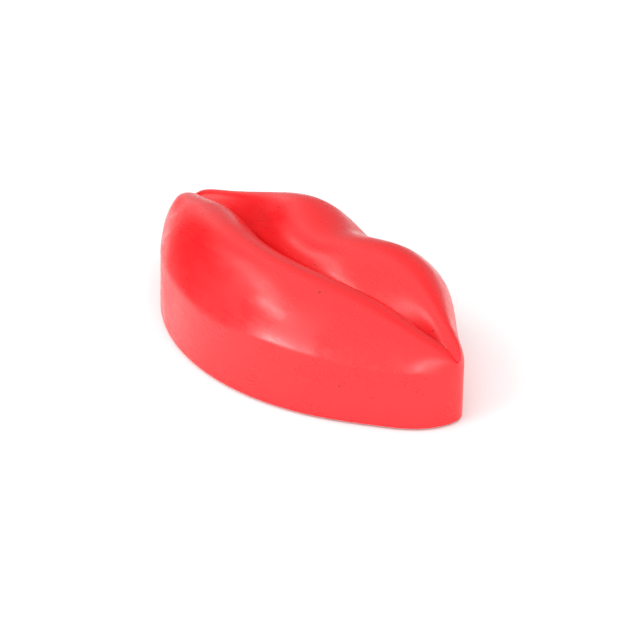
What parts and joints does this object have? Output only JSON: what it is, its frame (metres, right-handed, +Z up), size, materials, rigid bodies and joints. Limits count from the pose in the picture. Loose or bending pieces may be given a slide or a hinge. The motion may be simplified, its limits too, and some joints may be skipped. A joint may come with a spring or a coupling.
{
  "type": "novelty telephone",
  "caption": "One-piece corded telephone shaped like a pair of closed lips, with a keypad, receiver and hook plunger underneath.",
  "frame": {"origin": "middle of the footprint, on the surface that the telephone stands on", "axes": "+Z up, +X from one corner of the mouth to the other (microphone end), +Y from the lower lip to the upper lip"},
  "size_m": [0.213, 0.1158, 0.0582],
  "materials": {
    "red_plastic": "glossy moulded red plastic, slightly mottled",
    "red_base": "satin moulded red plastic",
    "key_plastic": null,
    "ivory_plastic": "satin ivory plastic",
    "black_plastic": "matte black plastic",
    "rubber": "matte black rubber",
    "foam": "closed-cell foam",
    "silicone": "translucent grey silicone rubber",
    "board": "solder-masked circuit board",
    "ribbon": "flat flexible cable",
    "capacitor": "shrink-sleeved capacitor cans",
    "resistor": "lacquered resistor bodies",
    "steel": "zinc-plated steel",
    "bright_metal": "drawn aluminium",
    "iron": "dull iron",
    "copper": "enamelled copper winding",
    "brass": "gold-coloured brass",
    "wire": "insulated hook-up wire"
  },
  "bodies": {
    "housing": {"lips_shell": "red_plastic", "base_plate": "red_base", "rubber_feet": "rubber", "case_screws": "steel", "key_membrane": "silicone", "keypad_board": "board", "keypad_screws": "steel", "ribbon_cable": "ribbon", "main_board": "board", "board_screws": "steel", "dialler_chip": "black_plastic", "speech_chip": "black_plastic", "capacitors": "capacitor", "resistors": "resistor", "transistors": "black_plastic", "bridge_rectifier": "black_plastic", "crystal": "bright_metal", "transformer_core": "iron", "transformer_coil": "copper", "line_jack": "ivory_plastic", "jack_contacts": "brass", "hook_spring": "steel", "hook_bracket": "steel", "bracket_screws": "steel", "hook_pin": "steel", "hook_switch": "black_plastic", "ringer_switch": "black_plastic", "tone_switch": "black_plastic", "receiver_case": "black_plastic", "receiver_gasket": "foam", "receiver_diaphragm": "bright_metal", "receiver_magnet": "iron", "receiver_clamp": "steel", "clamp_screws": "steel", "microphone_boot": "rubber", "microphone": "bright_metal", "ringer_case": "black_plastic", "ringer_disc": "brass", "ballast_weight": "iron", "weight_screws": "steel", "receiver_wires": "wire", "microphone_wires": "wire", "ringer_wires": "wire"},
    "key_1_button": {"key_1": "key_plastic"},
    "key_2_button": {"key_2": "key_plastic"},
    "key_3_button": {"key_3": "key_plastic"},
    "key_4_button": {"key_4": "key_plastic"},
    "key_5_button": {"key_5": "key_plastic"},
    "key_6_button": {"key_6": "key_plastic"},
    "key_7_button": {"key_7": "key_plastic"},
    "key_8_button": {"key_8": "key_plastic"},
    "key_9_button": {"key_9": "key_plastic"},
    "key_star_button": {"key_star": "key_plastic"},
    "key_0_button": {"key_0": "key_plastic"},
    "key_hash_button": {"key_hash": "key_plastic"},
    "plunger": {"hook_plunger": "ivory_plastic"},
    "lever": {"hook_lever": "ivory_plastic"},
    "ringer_slider": {"ringer_knob": "black_plastic"},
    "tone_slider": {"tone_knob": "black_plastic"}
  },
  "joints": [
    {"name": "key_1_press", "type": "slide", "parent": "housing", "child": "key_1_button", "axis": [0, 0, 1], "range_m": [0, 0.0012], "stiffness_N_per_m": 300, "springref_m": -0.001},
    {"name": "key_2_press", "type": "slide", "parent": "housing", "child": "key_2_button", "axis": [0, 0, 1], "range_m": [0, 0.0012], "stiffness_N_per_m": 300, "springref_m": -0.001},
    {"name": "key_3_press", "type": "slide", "parent": "housing", "child": "key_3_button", "axis": [0, 0, 1], "range_m": [0, 0.0012], "stiffness_N_per_m": 300, "springref_m": -0.001},
    {"name": "key_4_press", "type": "slide", "parent": "housing", "child": "key_4_button", "axis": [0, 0, 1], "range_m": [0, 0.0012], "stiffness_N_per_m": 300, "springref_m": -0.001},
    {"name": "key_5_press", "type": "slide", "parent": "housing", "child": "key_5_button", "axis": [0, 0, 1], "range_m": [0, 0.0012], "stiffness_N_per_m": 300, "springref_m": -0.001},
    {"name": "key_6_press", "type": "slide", "parent": "housing", "child": "key_6_button", "axis": [0, 0, 1], "range_m": [0, 0.0012], "stiffness_N_per_m": 300, "springref_m": -0.001},
    {"name": "key_7_press", "type": "slide", "parent": "housing", "child": "key_7_button", "axis": [0, 0, 1], "range_m": [0, 0.0012], "stiffness_N_per_m": 300, "springref_m": -0.001},
    {"name": "key_8_press", "type": "slide", "parent": "housing", "child": "key_8_button", "axis": [0, 0, 1], "range_m": [0, 0.0012], "stiffness_N_per_m": 300, "springref_m": -0.001},
    {"name": "key_9_press", "type": "slide", "parent": "housing", "child": "key_9_button", "axis": [0, 0, 1], "range_m": [0, 0.0012], "stiffness_N_per_m": 300, "springref_m": -0.001},
    {"name": "key_star_press", "type": "slide", "parent": "housing", "child": "key_star_button", "axis": [0, 0, 1], "range_m": [0, 0.0012], "stiffness_N_per_m": 300, "springref_m": -0.001},
    {"name": "key_0_press", "type": "slide", "parent": "housing", "child": "key_0_button", "axis": [0, 0, 1], "range_m": [0, 0.0012], "stiffness_N_per_m": 300, "springref_m": -0.001},
    {"name": "key_hash_press", "type": "slide", "parent": "housing", "child": "key_hash_button", "axis": [0, 0, 1], "range_m": [0, 0.0012], "stiffness_N_per_m": 300, "springref_m": -0.001},
    {"name": "hook_slide", "type": "slide", "parent": "housing", "child": "plunger", "axis": [0, 0, -1], "range_m": [0, 0.003], "stiffness_N_per_m": 150, "springref_m": 0.006, "deforming": ["hook_spring"]},
    {"name": "lever_hinge", "type": "hinge", "parent": "housing", "child": "lever", "pos_m": [0.058, 0, 0.01395], "axis": [0, -1, 0], "range_deg": [0, 25]},
    {"name": "ringer_switch_slide", "type": "slide", "parent": "housing", "child": "ringer_slider", "axis": [0.9816, 0.1908, 0], "range_m": [0, 0.004]},
    {"name": "tone_switch_slide", "type": "slide", "parent": "housing", "child": "tone_slider", "axis": [0.9816, -0.1908, 0], "range_m": [0, 0.004]}
  ],
  "couplings": [
    {"joint": "lever_hinge", "follows": "hook_slide", "rad_per_m": 145.4}
  ]
}
